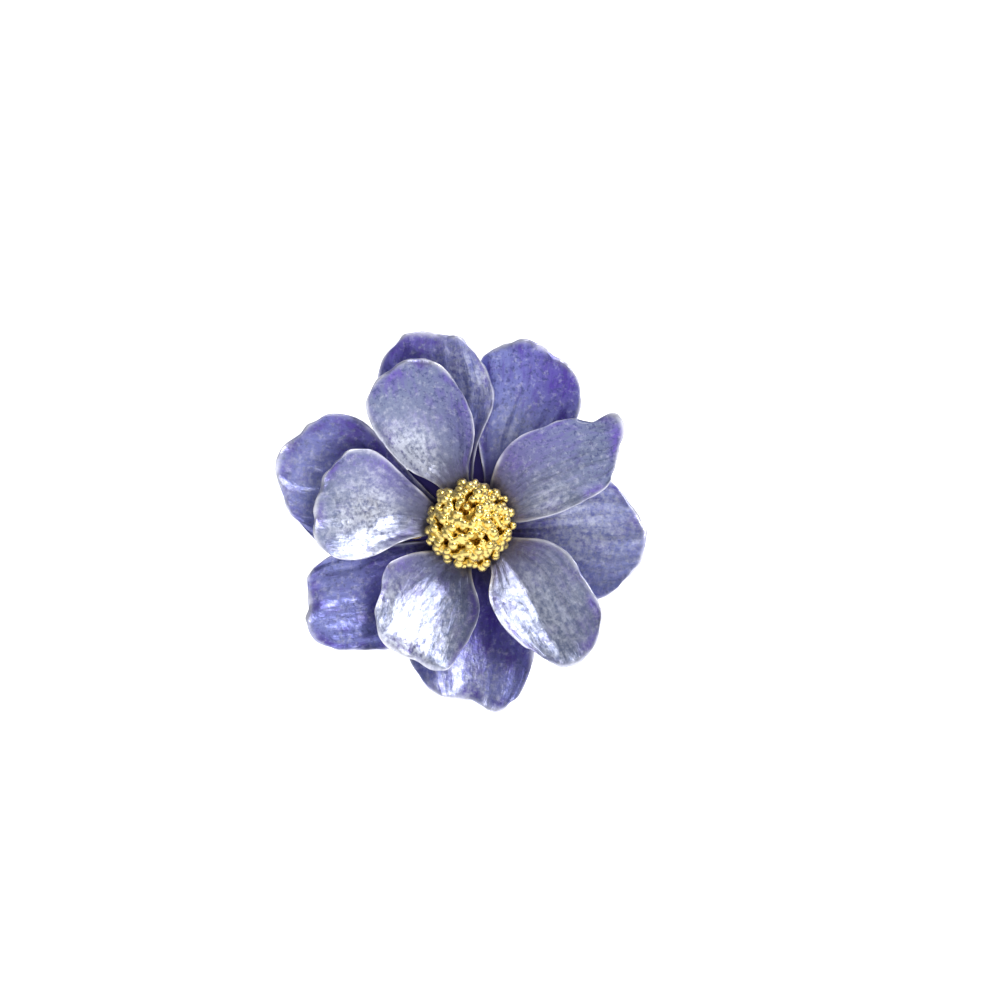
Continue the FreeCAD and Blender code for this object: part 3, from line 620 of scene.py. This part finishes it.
def enamel_material(name, pale, deep, root, flecks, coat):
    """Glossy metallic pearl enamel in one tint."""
    material, tree, shader = new_material(name)
    set_inputs(shader, Metallic=0.7, Coat_Weight=coat, Coat_Roughness=0.28)
    node = use_group(tree, shader, pearl, 0.06 * MM, Pale=pale, Deep=deep, Root_colour=root,
                     Fleck_amount=flecks)
    flow = tree.nodes.new("ShaderNodeCombineXYZ")
    tree.links.new(combine(tree, "MULTIPLY", attribute(tree, "across"), 16), flow.inputs["X"])
    tree.links.new(combine(tree, "MULTIPLY", attribute(tree, "along"), 5), flow.inputs["Y"])
    tree.links.new(flow.outputs["Vector"], node.inputs["Flow"])
    # The masks bring violet with painted shade, the painted highlight, the pale rim with its painted
    # highlight, and painted shade at the roots.
    for socket, mask in (("Violet and shade", "violet_and_shade"), ("Painted highlight", "painted_highlight"), ("Rim", "rim"), ("Root", "root")):
        tree.links.new(attribute(tree, mask), node.inputs[socket])
    return material


# Each enamel's third colour is the painted shade at the petals' roots.
outer_enamel = enamel_material(
    "outer_pearl_enamel", (0.195, 0.22, 0.53, 1), (0.09, 0.055, 0.37, 1), (0.02, 0.015, 0.10, 1), 0.65, 0.1)
inner_enamel = enamel_material(
    "inner_pearl_enamel", (0.17, 0.20, 0.345, 1), (0.14, 0.10, 0.43, 1), (0.08, 0.075, 0.12, 1), 0.7, 0.16)
for number, (*form, violet_and_shade, painted_highlight) in enumerate(OUTER_PETALS, start=1):
    petal = press_petal(f"outer_petal_{number}", PLATE_FRONT, form, violet_and_shade, painted_highlight, number,
                        OUTER_STREAKS)
    petal.data.materials.append(outer_enamel)
for number, (*form, violet_and_shade, painted_highlight) in enumerate(INNER_PETALS, start=1):
    petal = press_petal(f"inner_petal_{number}", SPACER_FRONT, form, violet_and_shade, painted_highlight,
                        number + INNER_SEED, INNER_STREAKS)
    petal.data.materials.append(inner_enamel)


# --- Stamen cluster ---------------------------------------------------------------------------------
# One small casting: a flattened dome thick with short rods that end in beads, plated in bright gold.
# Its foot sits on the inner claws, and the rivet holds it from behind.

DOME_FRONT = 4.3
DOME_RADIUS = 3.3
FOOT_RADIUS = 2.9
FLATTEN = 0.74
REACH = 4.6
FOOT_FRONT = SPACER_FRONT + THICKNESS
STAMEN_RINGS = [(21, 8, 0), (19, 22, 10), (16, 36, 3), (12, 50, 20), (8, 65, 5), (3, 80, 40)]
LYING_STAMENS = 76
STANDING_ROD = 0.3
STANDING_ROD_TIP = 0.27
STANDING_BEAD = (0.42, 0.6)
LYING_ROD = 0.32
LYING_BEAD = (0.34, 0.46)
HOLLOW_TOP = 0.93
HOLLOW_DEPTH = 0.2
VOXEL = 0.07
chance = random.Random(11)


def add_ball(shape, middle, radius):
    """A bead."""
    bmesh.ops.create_icosphere(shape, subdivisions=3, radius=radius, matrix=Matrix.Translation(middle))


def add_rod(shape, start, end, radius, tip_radius):
    """A straight rod from start to end."""
    way = end - start
    turn = way.to_track_quat("Z", "Y").to_matrix().to_4x4()
    bmesh.ops.create_cone(shape, cap_ends=True, segments=16, radius1=radius, radius2=tip_radius,
                          depth=way.length, matrix=Matrix.Translation((start + end) / 2) @ turn)


def stamen_cluster():
    """The casting as one closed skin: overlapping balls and rods fused, then softened a little."""
    shape = bmesh.new()
    middle = Vector((0, -DOME_FRONT, 0))
    squash = Matrix.Translation(middle) @ Matrix.Diagonal((1, FLATTEN, 1, 1))
    bmesh.ops.create_uvsphere(shape, u_segments=64, v_segments=32, radius=DOME_RADIUS, matrix=squash)
    foot = Matrix.Translation((0, -(FOOT_FRONT + DOME_FRONT) / 2, 0)) @ Matrix.Rotation(math.pi / 2, 4, "X")
    bmesh.ops.create_cone(shape, cap_ends=True, segments=64, radius1=FOOT_RADIUS, radius2=FOOT_RADIUS,
                          depth=DOME_FRONT - FOOT_FRONT, matrix=foot)
    for count, rise, first in STAMEN_RINGS:
        for number in range(count):
            turn = math.radians(first + 360 * number / count + chance.uniform(-6, 6))
            climb = math.radians(rise + chance.uniform(-5, 5))
            out = math.cos(climb)
            way = Vector((out * math.cos(turn), -math.sin(climb) * FLATTEN, out * math.sin(turn)))
            reach = REACH * chance.uniform(0.92, 1.02)
            tip = middle + way * reach
            lean = Vector([chance.uniform(-0.35, 0.35) for _ in range(3)])
            base = middle + way * (DOME_RADIUS * 0.8) + lean
            add_rod(shape, base, tip, STANDING_ROD, STANDING_ROD_TIP)
            add_ball(shape, tip, chance.uniform(*STANDING_BEAD))
    for _ in range(LYING_STAMENS):
        turn = chance.uniform(0, 2 * math.pi)
        climb = math.asin(chance.uniform(0.3, 1))
        reach = REACH * chance.uniform(0.86, 0.97)
        ends = []
        for step in (-1, 1):
            there = climb + step * chance.uniform(0, 0.16)
            around = turn + step * chance.uniform(0.02, 0.16) / max(0.3, math.cos(climb))
            out = math.cos(there)
            way = Vector((out * math.cos(around), -math.sin(there) * FLATTEN, out * math.sin(around)))
            ends.append(middle + way * reach)
        add_rod(shape, *ends, LYING_ROD, LYING_ROD)
        for end in ends:
            add_ball(shape, end, chance.uniform(*LYING_BEAD))
    mesh = bpy.data.meshes.new("stamen_cluster_cast")
    shape.to_mesh(mesh)
    shape.free()
    cluster = bpy.data.objects.new("stamen_cluster_cast", mesh)
    bpy.context.scene.collection.objects.link(cluster)
    fuse = cluster.modifiers.new("fuse", "REMESH")
    fuse.mode = "VOXEL"
    fuse.voxel_size = VOXEL
    soften = cluster.modifiers.new("soften", "SMOOTH")
    soften.factor = 0.5
    soften.iterations = 3
    graph = bpy.context.evaluated_depsgraph_get()
    fused = bpy.data.meshes.new_from_object(cluster.evaluated_get(graph))
    cluster.modifiers.clear()
    cluster.data = fused
    bpy.data.meshes.remove(mesh)
    fused.transform(Matrix.Scale(MM, 4))
    points = read_points(fused)
    radius = np.hypot(points[:, 0], points[:, 2])
    ahead = -points[:, 1] - DOME_FRONT * MM
    height = np.sqrt(radius ** 2 + (ahead / FLATTEN) ** 2) / (REACH * MM)
    # Painted shade: the gold darkens towards the dome, deep between the beads.
    write_mask(fused, "hollow_shade", np.clip((HOLLOW_TOP - height) / HOLLOW_DEPTH, 0, 1))
    fused.polygons.foreach_set("use_smooth", [True] * len(fused.polygons))
    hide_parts("stamen_cluster")
    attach(cluster, "flower")
    return cluster


def plating_group():
    """Plated metal: slightly uneven colour and polish, with painted shade in the hollows."""
    tree, given, result = group_tree("Plated metal", [
        ("Coordinates", "NodeSocketVector", None),
        ("Bright", "NodeSocketColor", (0.9, 0.65, 0.2, 1)),
        ("Dull", "NodeSocketColor", (0.4, 0.22, 0.05, 1)),
        ("Hollow shade", "NodeSocketFloat", 0.0),
        ("Polish", "NodeSocketFloat", 0.2),
        ("Grain size", "NodeSocketFloat", 900.0),
    ], [("Color", "NodeSocketColor"), ("Roughness", "NodeSocketFloat"), ("Height", "NodeSocketFloat")])
    at = given.outputs["Coordinates"]
    patch = texture(tree, "ShaderNodeTexNoise", at, Detail=4.0, Roughness=0.6)
    tree.links.new(given.outputs["Grain size"], patch.inputs["Scale"])
    dull = combine(tree, "MULTIPLY", ramp(tree, patch.outputs["Fac"], 0.5, 0.8), 0.35)
    # Painted shade in the hollows darkens the gold further.
    dull = combine(tree, "ADD", dull, given.outputs["Hollow shade"], clamp=True)
    tree.links.new(blend_colour(tree, dull, given.outputs["Bright"], given.outputs["Dull"]),
                   result.inputs["Color"])
    rough = combine(tree, "MULTIPLY", patch.outputs["Fac"], 0.16)
    tree.links.new(combine(tree, "ADD", rough, given.outputs["Polish"]), result.inputs["Roughness"])
    tree.links.new(patch.outputs["Fac"], result.inputs["Height"])
    return tree


plating = plating_group()


def plated_material(name, bright, dull, polish, grain, depth, hollow_shade=None):
    """Plated metal in one colour; hollow_shade names the mask of painted shade in the hollows."""
    material, tree, shader = new_material(name)
    set_inputs(shader, Metallic=1.0)
    node = use_group(tree, shader, plating, depth, Bright=bright, Dull=dull, Polish=polish,
                     Grain_size=grain)
    if hollow_shade:
        tree.links.new(attribute(tree, hollow_shade), node.inputs["Hollow shade"])
    return material


cluster = stamen_cluster()
cluster.data.materials.append(plated_material(
    "bright_gold", (0.93, 0.72, 0.24, 1), (0.55, 0.34, 0.06, 1), 0.2, 1400.0, 0.02 * MM, "hollow_shade"))


# --- Back plate, spacer and rivet -------------------------------------------------------------------
# A stamped round plate, a washer and one rivet, all brass with a thin, satin, pale gold wash. The
# plate's front face is dark violet, so that no gold shows between the petals' roots.

SATIN_WASH = ((0.80, 0.60, 0.28, 1), (0.50, 0.34, 0.13, 1), 0.24, 1100.0, 0.01 * MM)
VIOLET = (0.045, 0.035, 0.17, 1)


def dress(node, material):
    """Gives a CAD piece its finish."""
    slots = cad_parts[node].data.materials
    slots.clear()
    slots.append(material)


def violet_faced_material(name):
    """The satin gold wash, under dark violet enamel wherever the surface faces the flower's front."""
    material = plated_material(name, *SATIN_WASH)
    tree = material.node_tree
    shader = tree.nodes["Principled BSDF"]
    facing = tree.nodes.new("ShaderNodeSeparateXYZ")
    tree.links.new(tree.nodes.new("ShaderNodeNewGeometry").outputs["Normal"], facing.inputs[0])
    front = ramp(tree, combine(tree, "MULTIPLY", facing.outputs["Y"], -1.0), 0.6, 0.7)
    gold = shader.inputs["Base Color"].links[0].from_socket
    tree.links.new(blend_colour(tree, front, gold, VIOLET), shader.inputs["Base Color"])
    return material


satin_gold = plated_material("satin_gold", *SATIN_WASH)
dress("back_plate", violet_faced_material("violet_faced_plate"))
dress("layer_spacer", satin_gold)
dress("centre_rivet", satin_gold)


# --- Posts and locking clutches ---------------------------------------------------------------------
# Turned brass parts with the same wash, more polished, with fine turning rings about each post's axis;
# the balls are bearing steel. The spring is bright steel wire, coiled with closed end turns.

RING_PITCH = 0.16
RING_SHARE = 0.22
TURNED_WASH = ((0.78, 0.56, 0.24, 1), (0.55, 0.37, 0.14, 1), 0.14, 700.0, 0.006 * MM)
COIL_RADIUS = 1.45
COIL_TURNS = 2.6
END_TURNS = 0.7
END_PITCH = 0.2
TURN_STEPS = 48
WIRE_RADIUS = 0.11
WIRE_SIDES = 12


def turned_material(name, middle):
    """Polished gold wash over turning rings about the post at this x."""
    material = plated_material(name, *TURNED_WASH)
    tree = material.node_tree
    bump = next(node for node in tree.nodes if node.type == "BUMP")
    wash = bump.inputs["Height"].links[0].from_socket
    flat = tree.nodes.new("ShaderNodeMapping")
    tree.links.new(surface_coordinates(tree), flat.inputs["Vector"])
    set_inputs(flat, Location=(-middle, 0, 0), Scale=(1, 0, 1))
    reach = tree.nodes.new("ShaderNodeVectorMath")
    reach.operation = "LENGTH"
    tree.links.new(flat.outputs["Vector"], reach.inputs[0])
    rings = combine(tree, "SINE", combine(tree, "MULTIPLY", reach.outputs["Value"],
                                          2 * math.pi / (RING_PITCH * MM)), 0.0)
    rings = combine(tree, "MULTIPLY", rings, RING_SHARE)
    tree.links.new(combine(tree, "ADD", wash, rings), bump.inputs["Height"])
    return material


def coil_spring(side, middle):
    """The closed-ended coil, swept as one round wire; on the real pin its turns close up as the cap is
    pulled.
    """
    low, high = [corner.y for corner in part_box(f"clutch_spring_{side}")]
    inset = WIRE_RADIUS * MM
    turns = COIL_TURNS + 2 * END_TURNS
    steps = int(turns * TURN_STEPS)
    vertices = []
    faces = []
    for step in range(steps + 1):
        turn = turns * step / steps
        share = min(1, max(0, (turn - END_TURNS) / COIL_TURNS))
        ends = min(turn, END_TURNS) + max(0, turn - END_TURNS - COIL_TURNS)
        climb = ends * END_PITCH * MM
        rise = low + inset + climb + share * (high - low - 2 * inset - 2 * END_TURNS * END_PITCH * MM)
        out = Vector((math.cos(2 * math.pi * turn), 0, math.sin(2 * math.pi * turn)))
        centre = Vector((middle, rise, 0)) + out * COIL_RADIUS * MM
        for corner in range(WIRE_SIDES):
            angle = 2 * math.pi * corner / WIRE_SIDES
            vertices.append(centre + (out * math.cos(angle) + Vector((0, math.sin(angle), 0))) * inset)
        if step:
            for corner in range(WIRE_SIDES):
                near = (step - 1) * WIRE_SIDES
                after = (corner + 1) % WIRE_SIDES
                faces.append((near + corner, near + after, near + WIRE_SIDES + after,
                              near + WIRE_SIDES + corner))
    faces.append(tuple(reversed(range(WIRE_SIDES))))
    faces.append(tuple(range(len(vertices) - WIRE_SIDES, len(vertices))))
    coil = keep_mesh(f"coil_{side}", vertices, faces)
    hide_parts(f"clutch_spring_{side}")
    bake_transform(coil)
    return coil


polished_steel = plated_material(
    "polished_steel", (0.72, 0.73, 0.75, 1), (0.45, 0.45, 0.47, 1), 0.05, 1500.0, 0.002 * MM)
spring_steel = plated_material(
    "spring_steel", (0.55, 0.55, 0.57, 1), (0.30, 0.29, 0.28, 1), 0.2, 1800.0, 0.004 * MM)
for side in ("left", "right"):
    low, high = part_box(f"post_{side}")
    middle = (low.x + high.x) / 2
    turned_gold = turned_material(f"turned_gold_{side}", middle)
    for kind in ("post", "clutch_body", "pull_cap", "ball_cage"):
        dress(f"{kind}_{side}", turned_gold)
    dress(f"clutch_balls_{side}", polished_steel)
    coil_spring(side, middle).data.materials.append(spring_steel)
